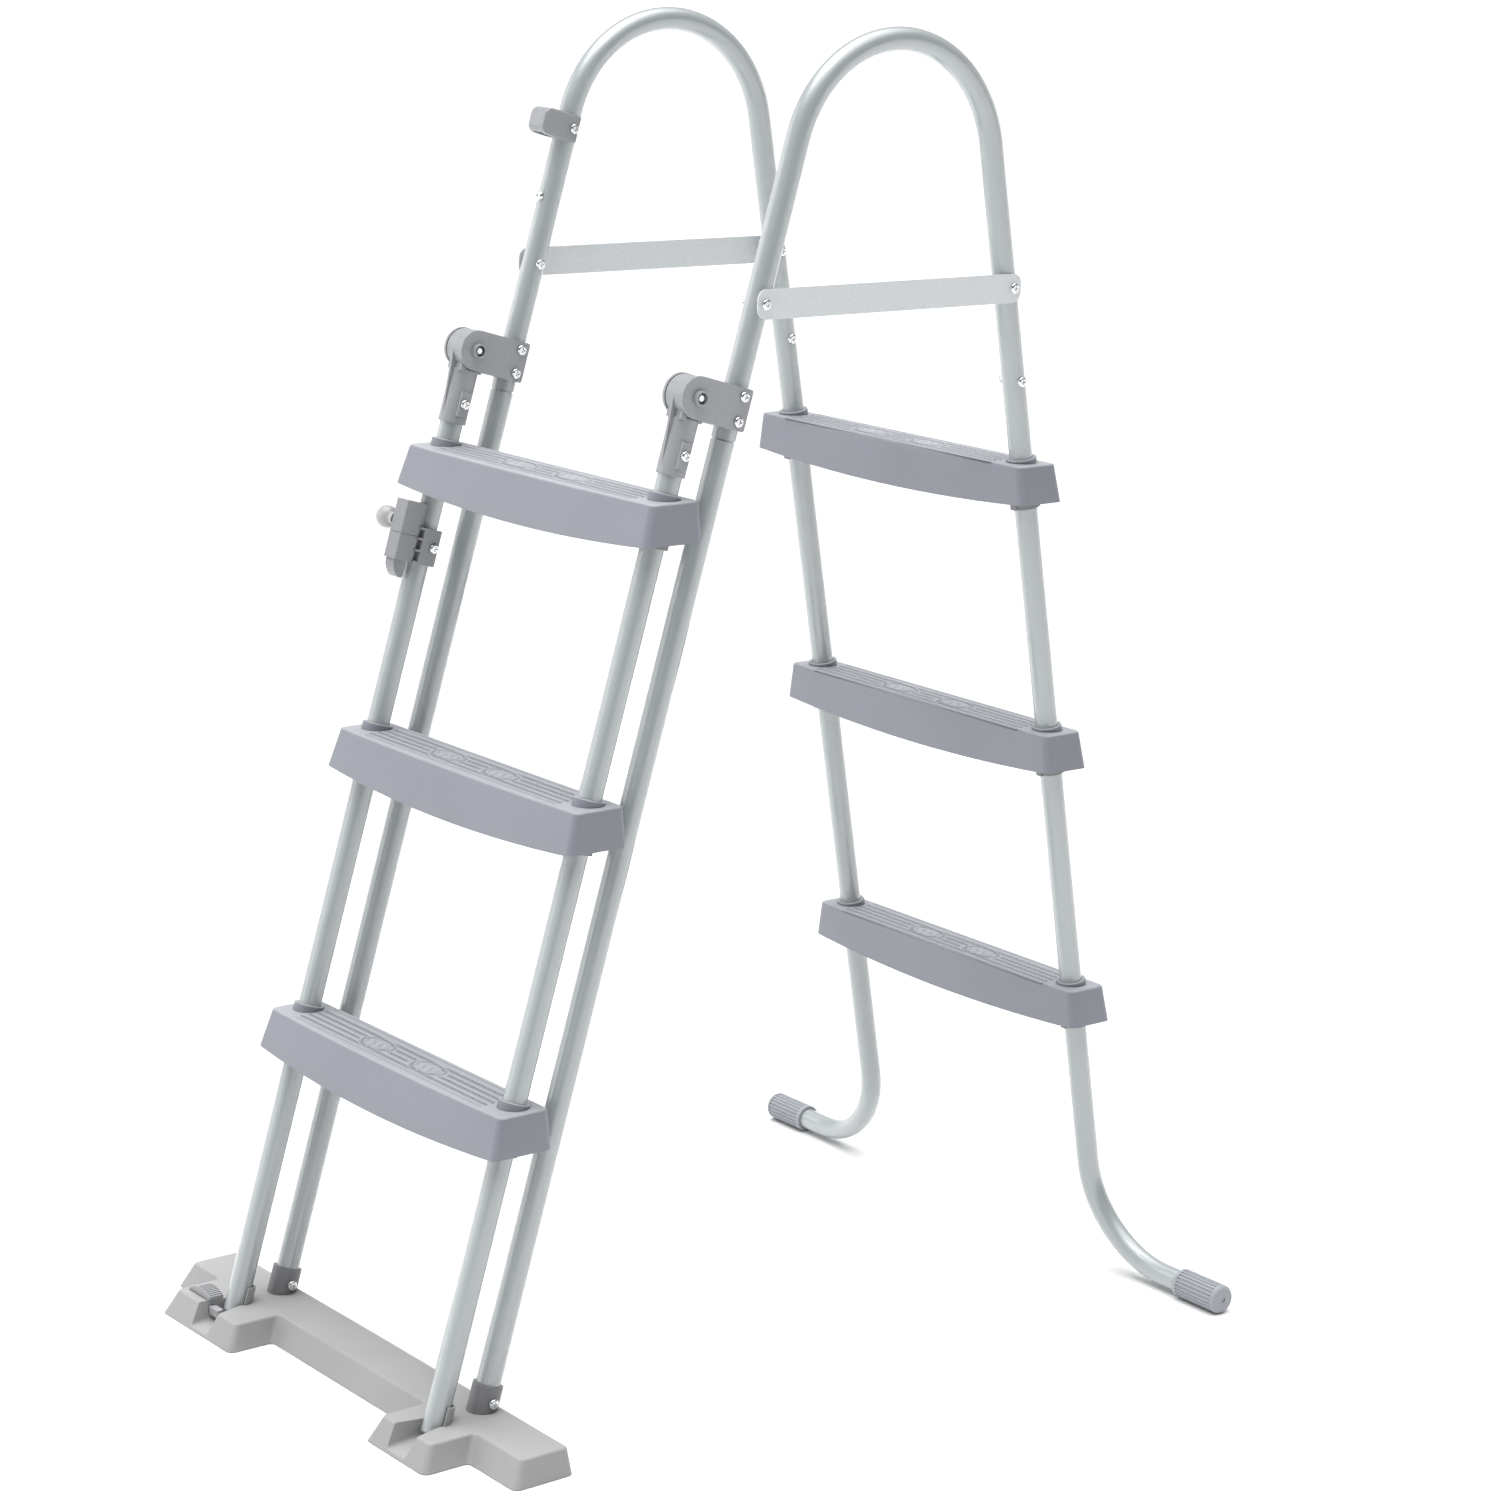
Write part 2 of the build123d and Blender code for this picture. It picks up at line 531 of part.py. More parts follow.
def stow_knob():
    knob = Pos(KNOB_X, KNOB_Y, KNOB_Z) * Sphere(KNOB_R)
    knob -= cross_rod(STEM_R, KNOB_X - 3, 0, KNOB_Y, KNOB_Z)
    knob -= block(KNOB_X + KNOB_R - 1.5, 0, KNOB_Y - 20, KNOB_Y + 20, KNOB_Z - 20, KNOB_Z + 20)
    neck = cross_rod(KNOB_NECK_R, KNOB_X + KNOB_R - 2, -HOUSING_HALF - 0.6, KNOB_Y, KNOB_Z)
    knob += neck - cross_rod(STEM_R, KNOB_X - 3, 0, KNOB_Y, KNOB_Z)
    return latch_frame() * knob


def stow_spring():
    length = HOUSING_TOP - 3 - (BOLT_TOP - 20) - 1.2
    wire = 0.55
    coil = Helix(pitch=4.6, height=length, radius=3.3)
    section = Plane(origin=coil @ 0, z_dir=coil % 0) * Circle(wire)
    spring = sweep(section, path=coil, is_frenet=True)
    return latch_frame() * Pos(0, SPRING_Y, BOLT_TOP - 20 + 0.6) * spring


def catch_frame():
    """On the left arch, level with the latch when the flip-up ladder is stowed."""
    height = LEG_PIVOT_HEIGHT + CATCH_MIDDLE * cos(OUTER_LEAN)
    return outer_frame(-HALF_GAUGE, height)


def stow_catch():
    half = CATCH_HEIGHT / 2
    body = block(-14.3, 14.3, -41, 6, -half, half)
    body = fillet(body.edges().filter_by(Axis.X).group_by(Axis.Y)[0], 9)
    body = fillet(body.edges().group_by(Axis.Y)[0], 2)
    body -= rod(TUBE_R + 0.05, -60, 60)
    body -= block(-9, 9, -36.5, -17, -half - 1, 2)
    body -= cross_rod(SELF_TAP_R, 0, 20)
    return catch_frame() * body


def stop_screw_place():
    """On the front of the left arch, with local X pointing away from the tube."""
    front = outer_frame(-HALF_GAUGE, STOP_SCREW_HEIGHT) * Pos(0, -TUBE_R, 0)
    return front * Rot(0, 0, -90)


def sleeve_screw_place(x):
    return outer_frame(x, SLEEVE_TOP - 16) * Pos(SLEEVE_R, 0, 0)


def leg_socket(x):
    sleeve = outer_frame(x, SLEEVE_TOP) * ring(SLEEVE_R, TUBE_R + 0.02, -60, 0)
    sleeve &= block(x - 40, x + 40, outer_y(0) - 40, outer_y(0) + 60, BASE_HEIGHT + 0.02, 90)
    return sleeve - sleeve_screw_place(x) * cross_rod(SELF_TAP_R, -20, 5)


# Base latch, on the left lobe. Its places are measured from the rail axis at this height.
LATCH_LEVEL = 22.0
LATCH_TRAVEL = 18.0
ARM_X = (-28.0, 2.0)
ARM_Y = (-24.5, -16.2)
ARM_Z = (12.5, 21.5)
POST_X = (-30.0, -23.0)
POST_TOP = BASE_HEIGHT + 3.0
THUMB_X = (-59.0, -15.5)
THUMB_Y = (-24.5, -7.0)
THUMB_LOW = BASE_HEIGHT + 0.5
THUMB_CROWN = (-40.0, BASE_HEIGHT + 9.2)
THUMB_END = BASE_HEIGHT + 4.5
THUMB_RIBS = 9
SLIDE_GAP = 0.4


def base_latch_frame():
    return Pos(-HALF_GAUGE, rail_y(LATCH_LEVEL), 0)


def base_latch():
    """Slide with a hook in front of the rail and a post that carries the thumb piece."""
    arm = block(*ARM_X, *ARM_Y, *ARM_Z)
    arm = fillet(arm.edges().filter_by(Axis.Z).group_by(Axis.X)[-1], 2.5)
    arm = fillet(arm.edges().group_by(Axis.Z)[-1], 0.8)
    post = block(*POST_X, ARM_Y[0] + 1, ARM_Y[1] - 1, ARM_Z[0] + 2, POST_TOP)
    foot = block(POST_X[0], ARM_X[0] + 1, *ARM_Y, *ARM_Z)
    return base_latch_frame() * (arm + foot + post)


def base_latch_thumb():
    """Arched thumb piece, ribbed across its travel."""
    left, right = (THUMB_X[0], THUMB_LOW), (THUMB_X[1], THUMB_LOW)
    crest = ThreePointArc((left[0], THUMB_LOW + 1), THUMB_CROWN, (right[0], THUMB_END))
    rest = Polyline((right[0], THUMB_END), right, left, (left[0], THUMB_LOW + 1))
    profile = Plane.XZ * make_face(crest + rest)
    thumb = Pos(0, THUMB_Y[1], 0) * extrude(profile, amount=THUMB_Y[1] - THUMB_Y[0])
    for i in range(THUMB_RIBS):
        along = crest @ (0.42 + 0.54 * i / (THUMB_RIBS - 1))
        groove = Pos(along.X, (THUMB_Y[0] + THUMB_Y[1]) / 2, along.Y) * Rot(90, 0, 0)
        thumb -= groove * Cylinder(0.9, THUMB_Y[1] - THUMB_Y[0] - 1.6)
    thumb -= block(*POST_X, ARM_Y[0] + 1, ARM_Y[1] - 1, 0, POST_TOP)
    return base_latch_frame() * thumb



def latch_pocket():
    """Room inside the lobe for the slide and, above it, for its post."""
    gap = SLIDE_GAP
    left = POST_X[0] - LATCH_TRAVEL - gap
    pocket = block(left, 0, ARM_Y[0] - gap, ARM_Y[1] + gap, ARM_Z[0] - gap, ARM_Z[1] + gap)
    slot = block(left, POST_X[1] + gap, ARM_Y[0] + 1 - gap, ARM_Y[1] - 1 + gap, ARM_Z[1], BASE_HEIGHT + 5)
    return base_latch_frame() * (pocket + slot)


def base_outline(front, end, rear, outer_r, inner_r):
    """Plan of the base moved in by the three insets, with its outer and inner corners rounded."""
    y0 = outer_y(0)
    half = BASE_HALF_LENGTH - end
    bar_front = y0 - BAR_FRONT + front
    bar_rear = y0 + BAR_REAR - rear
    lobe_front = y0 - BASE_FRONT + front
    points = [(-half, bar_rear), (-half, bar_front)]
    for x, (to_left, to_right) in ((-HALF_GAUGE, LEFT_LOBE), (HALF_GAUGE, RIGHT_LOBE)):
        x0, x1 = x - to_left + end, x + to_right - end
        points += [(x0, bar_front), (x0, lobe_front), (x1, lobe_front), (x1, bar_front)]
    points += [(half, bar_front), (half, bar_rear)]
    face = make_face(Polyline(*points, close=True))
    lobe_reach = HALF_GAUGE + LEFT_LOBE[0] + 1

    def is_inner(v):
        return abs(v.Y - bar_front) < 0.01 and abs(v.X) < lobe_reach

    face = fillet([v for v in face.vertices() if not is_inner(v)], outer_r)
    return fillet([v for v in face.vertices() if is_inner(v)], inner_r)


def rail_notch(x):
    """Round at the back, where the rail stands, and flared towards the front."""
    rear_y, mouth_y = rail_y(NOTCH_FLOOR), outer_y(0) - BASE_FRONT - 4
    sections = []
    for y, floor, low, high in (
        (rear_y, NOTCH_FLOOR, NOTCH_R, NOTCH_R),
        (mouth_y, NOTCH_MOUTH_FLOOR, NOTCH_MOUTH_HALF, NOTCH_MOUTH_TOP_HALF + 2),
    ):
        face = make_face(Polyline((-low, floor), (low, floor), (high, 32), (-high, 32), close=True))
        face = fillet(face.vertices().group_by(Axis.Y)[0], 5)
        sections.append(Plane(origin=(x, y, 0), x_dir=(1, 0, 0), z_dir=(0, -1, 0)) * face)
    mouth = loft(sections, ruled=True)
    shaft = rail_frame(x, 0) * rod(NOTCH_R, 0, 90)
    return mouth + (shaft & block(x - 30, x + 30, outer_y(0) - 120, outer_y(0), NOTCH_FLOOR, 90))


def base():
    outline = base_outline(0, 0, 0, 9, 6)
    top = Pos(0, 0, BASE_HEIGHT) * base_outline(FRONT_INSET, END_INSET, REAR_INSET, 6, 6)
    body = loft([outline, top], ruled=True)
    body = fillet(body.edges().group_by(Axis.Z)[-1], 3.5)
    y0 = outer_y(0)
    for left, right in ((-118, -62), (-59, -1.5), (1.5, 59), (62, 118), (270, 316), (-316, -285)):
        body -= block(left, right, y0 - BAR_FRONT + 21, y0 + BAR_REAR - 8, -1, BASE_HEIGHT - 5)
    for side in SIDES.values():
        x = side * HALF_GAUGE
        saddle = ring(NOTCH_R + 2.4, NOTCH_R, 0, SADDLE_TOP / cos(OUTER_LEAN))
        saddle &= block(-20, 20, 0, 20, BASE_HEIGHT - 8, 90)
        body += rail_frame(x, 0) * saddle
        body -= rail_notch(x)
        body -= outer_frame(x, 0) * rod(TUBE_R + 0.02, (LEG_BOTTOM - 0.05) / cos(OUTER_LEAN), 90)
    return body - latch_pocket()


def export(name, shapes):
    shapes = shapes if isinstance(shapes, list) else [shapes]
    solids = [solid for shape in shapes for solid in shape.solids()]
    result = solids[0] if len(solids) == 1 else Compound(children=solids)
    result.label = name
    export_step(result, f"parts/{name}.step")


def place_tread(body, frame_y, z):
    return Pos(0, frame_y(z), z) * body


def main():
    os.makedirs("parts", exist_ok=True)
    export("base", base())
    export("base_latch", base_latch())
    export("base_latch_thumb", base_latch_thumb())
    export("leg_socket_screws", [sleeve_screw_place(s * HALF_GAUGE) * self_tap() for s in SIDES.values()])
    for name, side in SIDES.items():
        x = side * HALF_GAUGE
        export(f"leg_socket_{name}", leg_socket(x))
        export(f"outer_leg_{name}", outer_leg(x))
        export(f"handrail_{name}", handrail(x))
        export(f"inner_leg_{name}", inner_leg(x))
        export(f"foot_cap_{name}", foot_cap(side))
        export(f"side_brace_{name}", side_brace(side))
        export(f"pivot_bracket_{name}", pivot_bracket(x))
        export(f"pivot_pin_{name}", pivot_pin(x))
        export(f"rail_socket_{name}", rail_socket(x))
        export(f"step_rail_{name}", step_rail(x))
        export(f"rail_plug_{name}", rail_plug(x))
    for kind, (screws, nuts) in {
        "brace": side_brace_bolts(),
        "joint": joint_bolts(),
        "bracket": bracket_bolts(),
    }.items():
        export(f"{kind}_bolts", screws)
        export(f"{kind}_nuts", nuts)
    export("rail_socket_screws", rail_socket_screws())
    for kind, shape, axis_y in (("outer", OUTER_TREAD, rail_y), ("inner", INNER_TREAD, inner_y)):
        body = tread(shape)
        rings = lock_rings(shape)
        for level, z in LEVELS.items():
            place = Pos(0, axis_y(z), z)
            export(f"{kind}_step_{level}", place * body)
            export(f"{kind}_step_rings_{level}", [place * r for r in rings])
    export("stow_latch_housing", stow_latch_housing())
    latch_screw = latch_frame() * Pos(CLAMP_OUTER, LATCH_SCREW_Y, LATCH_SCREW_Z) * self_tap()
    export("stow_latch_screw", latch_screw)
    export("stow_bolt", stow_bolt())
    export("stow_knob", stow_knob())
    export("stow_spring", stow_spring())
    export("stow_catch", stow_catch())
    export("stow_catch_screw", catch_frame() * Pos(14.3, 0, 0) * self_tap())
    export("stop_screw", stop_screw_place() * self_tap())


main()
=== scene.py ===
"""Looks for a free-standing pool ladder: materials, tread relief, studio light and camera.

Everything is in metres in the CAD frame: +X across the ladder, +Y from the ground side to the
pool side, +Z up.
"""

import json
import math

import bpy
import numpy as np
from mathutils import Matrix, Vector


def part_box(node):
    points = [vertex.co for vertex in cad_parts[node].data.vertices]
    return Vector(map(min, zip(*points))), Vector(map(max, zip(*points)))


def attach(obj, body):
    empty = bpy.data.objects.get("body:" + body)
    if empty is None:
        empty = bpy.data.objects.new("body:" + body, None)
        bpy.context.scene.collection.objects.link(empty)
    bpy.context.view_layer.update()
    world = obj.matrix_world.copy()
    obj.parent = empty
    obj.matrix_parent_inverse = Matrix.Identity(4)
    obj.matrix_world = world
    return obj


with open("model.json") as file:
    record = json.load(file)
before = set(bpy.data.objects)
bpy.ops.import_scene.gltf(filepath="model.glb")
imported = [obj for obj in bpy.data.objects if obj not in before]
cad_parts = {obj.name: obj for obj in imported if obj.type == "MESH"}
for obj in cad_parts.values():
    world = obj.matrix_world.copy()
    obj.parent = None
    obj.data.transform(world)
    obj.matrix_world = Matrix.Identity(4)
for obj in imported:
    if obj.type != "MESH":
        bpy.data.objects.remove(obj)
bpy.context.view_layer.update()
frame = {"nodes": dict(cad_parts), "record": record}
NODES = frame["nodes"]
SLOT_OF = {row["node"]: row["material_slot"] for row in frame["record"]["subparts"]}

MM = 0.001
FIRST_TREAD_TOP = 348 * MM
TREAD_PITCH = 304.8 * MM
TREAD_TOP = {level: FIRST_TREAD_TOP + i * TREAD_PITCH for i, level in enumerate(("bottom", "middle", "top"))}

SHADER_SAMPLES = 6
# Occlusion of a closed-in groove and of open air, rounded-to-flat normal agreement on flats and on
# edges, and the upward part of the normal on a steep slope and on a level top.
CLOSED_IN, OPEN_AIR = 0.3, 0.8
FLAT_DOT, EDGE_DOT = 0.98, 0.8
SLOPE_Z, LEVEL_Z = 0.5, 0.95


# ---------------------------------------------------------------- node helpers
class Tree:
    """A material's node tree with short calls for the nodes used here."""

    def __init__(self, name):
        self.material = bpy.data.materials.new(name)
        self.material.use_nodes = True
        self.nodes = self.material.node_tree.nodes
        self.links = self.material.node_tree.links
        self.nodes.clear()
        self.out = self.nodes.new("ShaderNodeOutputMaterial")
        self.bsdf = self.nodes.new("ShaderNodeBsdfPrincipled")
        self.links.new(self.bsdf.outputs["BSDF"], self.out.inputs["Surface"])
        self.place = self.nodes.new("ShaderNodeTexCoord").outputs["Object"]

    def link(self, a, b):
        self.links.new(a, b)

    def noise(self, scale, detail=2.0, roughness=0.5):
        node = self.nodes.new("ShaderNodeTexNoise")
        node.inputs["Scale"].default_value = scale
        node.inputs["Detail"].default_value = detail
        node.inputs["Roughness"].default_value = roughness
        self.link(self.place, node.inputs["Vector"])
        return node.outputs["Fac"]

    def attribute(self, name):
        node = self.nodes.new("ShaderNodeAttribute")
        node.attribute_name = name
        return node.outputs["Fac"]

    def upward(self):
        """1 on faces that point up in the part's own frame, 0 on walls: the mask for painted light on tops.
        """
        split = self.nodes.new("ShaderNodeSeparateXYZ")
        self.link(self.nodes.new("ShaderNodeTexCoord").outputs["Normal"], split.inputs[0])
        return self.span(split.outputs["Z"], SLOPE_Z, LEVEL_Z, 0.0, 1.0)

    def crevices(self, reach):
        """1 in grooves and inside corners, 0 on open faces: the mask for painted shade in crevices."""
        node = self.nodes.new("ShaderNodeAmbientOcclusion")
        node.samples = SHADER_SAMPLES
        node.inputs["Distance"].default_value = reach
        return self.span(node.outputs["AO"], CLOSED_IN, OPEN_AIR, 1.0, 0.0)

    def tint(self):
        """The part's own tone, white unless it is set on the object."""
        return self.nodes.new("ShaderNodeObjectInfo").outputs["Color"]

    def cells(self, scale):
        node = self.nodes.new("ShaderNodeTexVoronoi")
        node.inputs["Scale"].default_value = scale
        self.link(self.place, node.inputs["Vector"])
        return node.outputs

    def span(self, value, low, high, to_low, to_high):
        node = self.nodes.new("ShaderNodeMapRange")
        for name, number in zip(("From Min", "From Max", "To Min", "To Max"), (low, high, to_low, to_high)):
            node.inputs[name].default_value = number
        self.link(value, node.inputs["Value"])
        return node.outputs["Result"]

    def mix(self, fac, a, b, blend="MIX"):
        node = self.nodes.new("ShaderNodeMix")
        node.data_type = "RGBA"
        node.blend_type = blend
        for socket, value in ((node.inputs[0], fac), (node.inputs[6], a), (node.inputs[7], b)):
            if isinstance(value, bpy.types.NodeSocket):
                self.link(value, socket)
            elif isinstance(value, (int, float)):
                socket.default_value = value
            else:
                socket.default_value = (*value, 1.0)
        return node.outputs[2]

    def math(self, operation, a, b=0.0):
        node = self.nodes.new("ShaderNodeMath")
        node.operation = operation
        for socket, value in zip(node.inputs, (a, b)):
            if isinstance(value, bpy.types.NodeSocket):
                self.link(value, socket)
            else:
                socket.default_value = value
        return node.outputs[0]

    def bump(self, height, distance, strength=1.0, normal=None):
        node = self.nodes.new("ShaderNodeBump")
        node.inputs["Distance"].default_value = distance
        node.inputs["Strength"].default_value = strength
        self.link(height, node.inputs["Height"])
        if normal is not None:
            self.link(normal, node.inputs["Normal"])
        return node.outputs["Normal"]

    def soft_edges(self, radius):
        """Normal with edges rounded over radius, and a mask that is 1 on those edges."""
        bevel = self.nodes.new("ShaderNodeBevel")
        bevel.samples = SHADER_SAMPLES
        bevel.inputs["Radius"].default_value = radius
        geometry = self.nodes.new("ShaderNodeNewGeometry")
        dot = self.nodes.new("ShaderNodeVectorMath")
        dot.operation = "DOT_PRODUCT"
        self.link(bevel.outputs["Normal"], dot.inputs[0])
        self.link(geometry.outputs["Normal"], dot.inputs[1])
        return bevel.outputs["Normal"], self.span(dot.outputs["Value"], FLAT_DOT, EDGE_DOT, 0.0, 1.0)


def linear(r, g, b):
    """Linear colour of an 8-bit display colour."""
    display = (r / 255, g / 255, b / 255)
    return tuple(c / 12.92 if c <= 0.04045 else ((c + 0.055) / 1.055) ** 2.4 for c in display)


def scaled(colour, factor):
    return tuple(min(1.0, c * factor) for c in colour)


# ---------------------------------------------------------------- materials
WHITE = (1, 1, 1)
# Painted shade in crevices and on the grip pattern's steep flanks: reach, tone and amount.
CREVICE_REACH = 3.0 * MM
CREVICE_SHADE_TONE = 0.3
FLANK_SHADE_TONE = 0.45
FLANK_SHADE_AMOUNT = 0.85


def moulded(name, colour, rough=0.42, grain=0.035 * MM, edge=0.7 * MM, painted_top_light=WHITE, edge_scuff_and_highlight=1.5, crevice_shade_amount=0.75):
    """Injection-moulded plastic: spark-eroded grain, faint flow clouds, edges lightened as scuffs and as a
    painted edge highlight, painted shade in crevices and on tread-pattern flanks, and tops lightened as
    painted light from above.
    """
    t = Tree(name)
    clouds = t.noise(9.0, 3.0)
    fine = t.noise(900.0, 3.0, 0.65)
    pits = t.noise(2600.0, 2.0, 0.5)
    normal, edges = t.soft_edges(edge)
    base = t.mix(t.span(clouds, 0.3, 0.7, 0.0, 1.0), scaled(colour, 0.965), scaled(colour, 1.035))
    mottled = t.mix(1.0, base, scaled(WHITE, 0.93), "MULTIPLY")
    base = t.mix(t.span(fine, 0.35, 0.65, 0.0, 0.35), base, mottled)
    # Scuffs plus painted highlight: edges lightened along the rounded-edge mask.
    scuff_and_highlight = t.math("MULTIPLY", edges, t.span(t.noise(60.0, 2.0), 0.4, 0.6, 0.4, 0.8))
    base = t.mix(scuff_and_highlight, base, scaled(colour, edge_scuff_and_highlight))
    # Painted shade: grooves, contact areas and inside corners darkened by the occlusion mask.
    crevice_shade = t.math("MULTIPLY", t.crevices(CREVICE_REACH), crevice_shade_amount)
    base = t.mix(crevice_shade, base, scaled(colour, CREVICE_SHADE_TONE))
    # Painted shade: the steep flanks of the tread grip pattern darkened.
    flank = t.math("MULTIPLY", t.attribute("grip_flank_shade"), FLANK_SHADE_AMOUNT)
    base = t.mix(flank, base, scaled(colour, FLANK_SHADE_TONE))
    # Painted light: faces that point up are brightened as if lit from above.
    base = t.mix(t.upward(), base, t.mix(1.0, base, painted_top_light, "MULTIPLY"))
    base = t.mix(1.0, base, t.tint(), "MULTIPLY")
    t.link(base, t.bsdf.inputs["Base Color"])
    t.link(t.span(fine, 0.3, 0.7, rough - 0.05, rough + 0.07), t.bsdf.inputs["Roughness"])
    t.bsdf.inputs["Specular IOR Level"].default_value = 0.45
    height = t.math("ADD", t.math("MULTIPLY", fine, 0.7), t.math("MULTIPLY", pits, 0.5))
    t.link(t.bump(height, grain, 0.8, normal), t.bsdf.inputs["Normal"])
    return t.material


def powder_coat(name, colour):
    """Satin powder coat on steel tube: fine orange peel and very faint handling marks."""
    t = Tree(name)
    peel = t.noise(520.0, 2.0, 0.45)
    clouds = t.noise(7.0, 2.0)
    marks = t.noise(34.0, 6.0, 0.72)
    base = t.mix(t.span(clouds, 0.3, 0.7, 0.0, 1.0), scaled(colour, 0.98), scaled(colour, 1.02))
    base = t.mix(t.span(marks, 0.66, 0.8, 0.0, 0.12), base, scaled(colour, 0.9))
    t.link(base, t.bsdf.inputs["Base Color"])
    t.link(t.span(marks, 0.3, 0.75, 0.22, 0.26), t.bsdf.inputs["Roughness"])
    t.bsdf.inputs["Specular IOR Level"].default_value = 0.9
    t.bsdf.inputs["Coat Weight"].default_value = 1.0
    t.bsdf.inputs["Coat Roughness"].default_value = 0.12
    normal, _ = t.soft_edges(0.4 * MM)
    t.link(t.bump(peel, 0.012 * MM, 0.5, normal), t.bsdf.inputs["Normal"])
    return t.material


def galvanised(name, colour):
    """Flat steel strip with a fine speckled zinc-grey finish."""
    t = Tree(name)
    flakes = t.cells(1500.0)
    speck = t.noise(1100.0, 2.0, 0.6)
    base = t.mix(t.span(flakes["Distance"], 0.1, 0.8, 0.0, 1.0), scaled(colour, 0.86), scaled(colour, 1.08))
    base = t.mix(t.span(speck, 0.52, 0.68, 0.0, 0.65), base, scaled(colour, 1.3))
    t.link(base, t.bsdf.inputs["Base Color"])
    t.bsdf.inputs["Metallic"].default_value = 0.25
    t.link(t.span(speck, 0.3, 0.7, 0.42, 0.6), t.bsdf.inputs["Roughness"])
    normal, _ = t.soft_edges(0.4 * MM)
    t.link(t.bump(speck, 0.05 * MM, 0.7, normal), t.bsdf.inputs["Normal"])
    return t.material


def plated(name, colour, rough):
    """Bright zinc or nickel plate with light tool marks."""
    t = Tree(name)
    marks = t.noise(420.0, 4.0, 0.6)
    t.link(t.mix(t.span(marks, 0.4, 0.7, 0, 1), colour, scaled(colour, 0.86)), t.bsdf.inputs["Base Color"])
    t.bsdf.inputs["Metallic"].default_value = 1.0
    t.link(t.span(marks, 0.3, 0.7, rough - 0.05, rough + 0.1), t.bsdf.inputs["Roughness"])
    normal, _ = t.soft_edges(0.3 * MM)
    t.link(t.bump(marks, 0.02 * MM, 0.5, normal), t.bsdf.inputs["Normal"])
    return t.material


TREAD_GREY = linear(134, 137, 145)
BASE_GREY = linear(157, 157, 157)
TUBE_GREY = linear(164, 170, 172)
LATCH_GREY = linear(160, 161, 164)
MATERIALS = {
    "frame_tube": powder_coat("frame_powder_coat", TUBE_GREY),
    "rail_tube": powder_coat("rail_powder_coat", TUBE_GREY),
    "tread": moulded("tread_plastic", TREAD_GREY, painted_top_light=(1.6, 1.58, 1.5)),
    "bracket": moulded("bracket_plastic", linear(152, 154, 158), rough=0.27, edge_scuff_and_highlight=2.2),
    "base": moulded("base_plastic", BASE_GREY, 0.55, 0.06 * MM, 1.2 * MM, painted_top_light=(1.15, 1.15, 1.15)),
    "latch": moulded("latch_plastic", LATCH_GREY, edge=0.25 * MM, painted_top_light=(1.12, 1.12, 1.12), crevice_shade_amount=1.0),
    "dark_plastic": moulded("dark_plastic", linear(127, 127, 130)),
    "foot_cap": moulded("foot_cap_vinyl", linear(156, 160, 166), rough=0.5, edge=0.4 * MM),
    "knob": moulded("knob_plastic", linear(170, 171, 171), rough=0.26),
    "brace": galvanised("galvanised_strip", linear(209, 213, 216)),
    "spring": plated("spring_steel", (0.62, 0.62, 0.62), 0.25),
    "fastener": plated("plated_screw", (0.78, 0.79, 0.8), 0.16),
}


def smooth(obj, degrees=32):
    """Smooth shading with hard edges kept where faces turn by more than the angle."""
    mesh = obj.data
    mesh.shade_smooth()
    mesh.set_sharp_from_angle(angle=math.radians(degrees))


# Parts that are darker than the rest of their slot.
TONES = {"stow_latch_housing": 0.8, "stow_bolt": 0.8, "stow_catch": 0.93}
for name, obj in NODES.items():
    obj.data.materials.clear()
    obj.data.materials.append(MATERIALS[SLOT_OF[name]])
    tone = TONES.get(name, 1.0)
    obj.color = (tone, tone, tone, 1.0)


def piece(name, verts, faces, body, slot):
    """A new mesh that rides on a CAD body and wears a record slot's material."""
    mesh = bpy.data.meshes.new(name)
    mesh.from_pydata(verts, [], faces)
    mesh.update()
    obj = bpy.data.objects.new(name, mesh)
    bpy.context.scene.collection.objects.link(obj)
    mesh.materials.append(MATERIALS[slot])
    smooth(obj, 50)
    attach(obj, body)
    return obj


# ---------------------------------------------------------------- tread relief
GRIP_HALF_X = 178 * MM
GRIP_ROWS = (-21.0 * MM, -11.0 * MM, -1.0 * MM, 9.0 * MM)
GRIP_EDGE = (-28.0 * MM, 20.0 * MM)
ROPE_HALF = 2.6 * MM
GRIP_RISE = 1.5 * MM
GRIP_FLOOR = 0.06 * MM
GRIP_SKIRT = 0.35 * MM
FLANK_WIDTH = 1.6 * MM
ROPE_PITCH = 4.2 * MM
ROPE_LEAN = 0.42
BORDER_HALF = 0.9 * MM
BORDER_RISE = 0.6
OVAL_X = 48 * MM
OVAL_Y = -6 * MM
OVAL_RX = 27 * MM
OVAL_RY = 15 * MM
# Distances from an oval's centre, where 1 is its outline: its rim, its filling and the clearance round it.
RIM_AT, RIM_HALF = 0.93, 0.075
FILLING_TO = 0.8
CLEAR_FROM = 1.12
GRIP_GRID = (640, 96)
GRIP_MARGIN = 2 * MM
SMOOTH_FLANK = 0.15
# From a tread's pool-side edge (outer treads) or ground-side edge (inner treads) to the pattern's axis.
OUTER_AXIS_INSET = 28 * MM
INNER_AXIS_INSET = 31 * MM


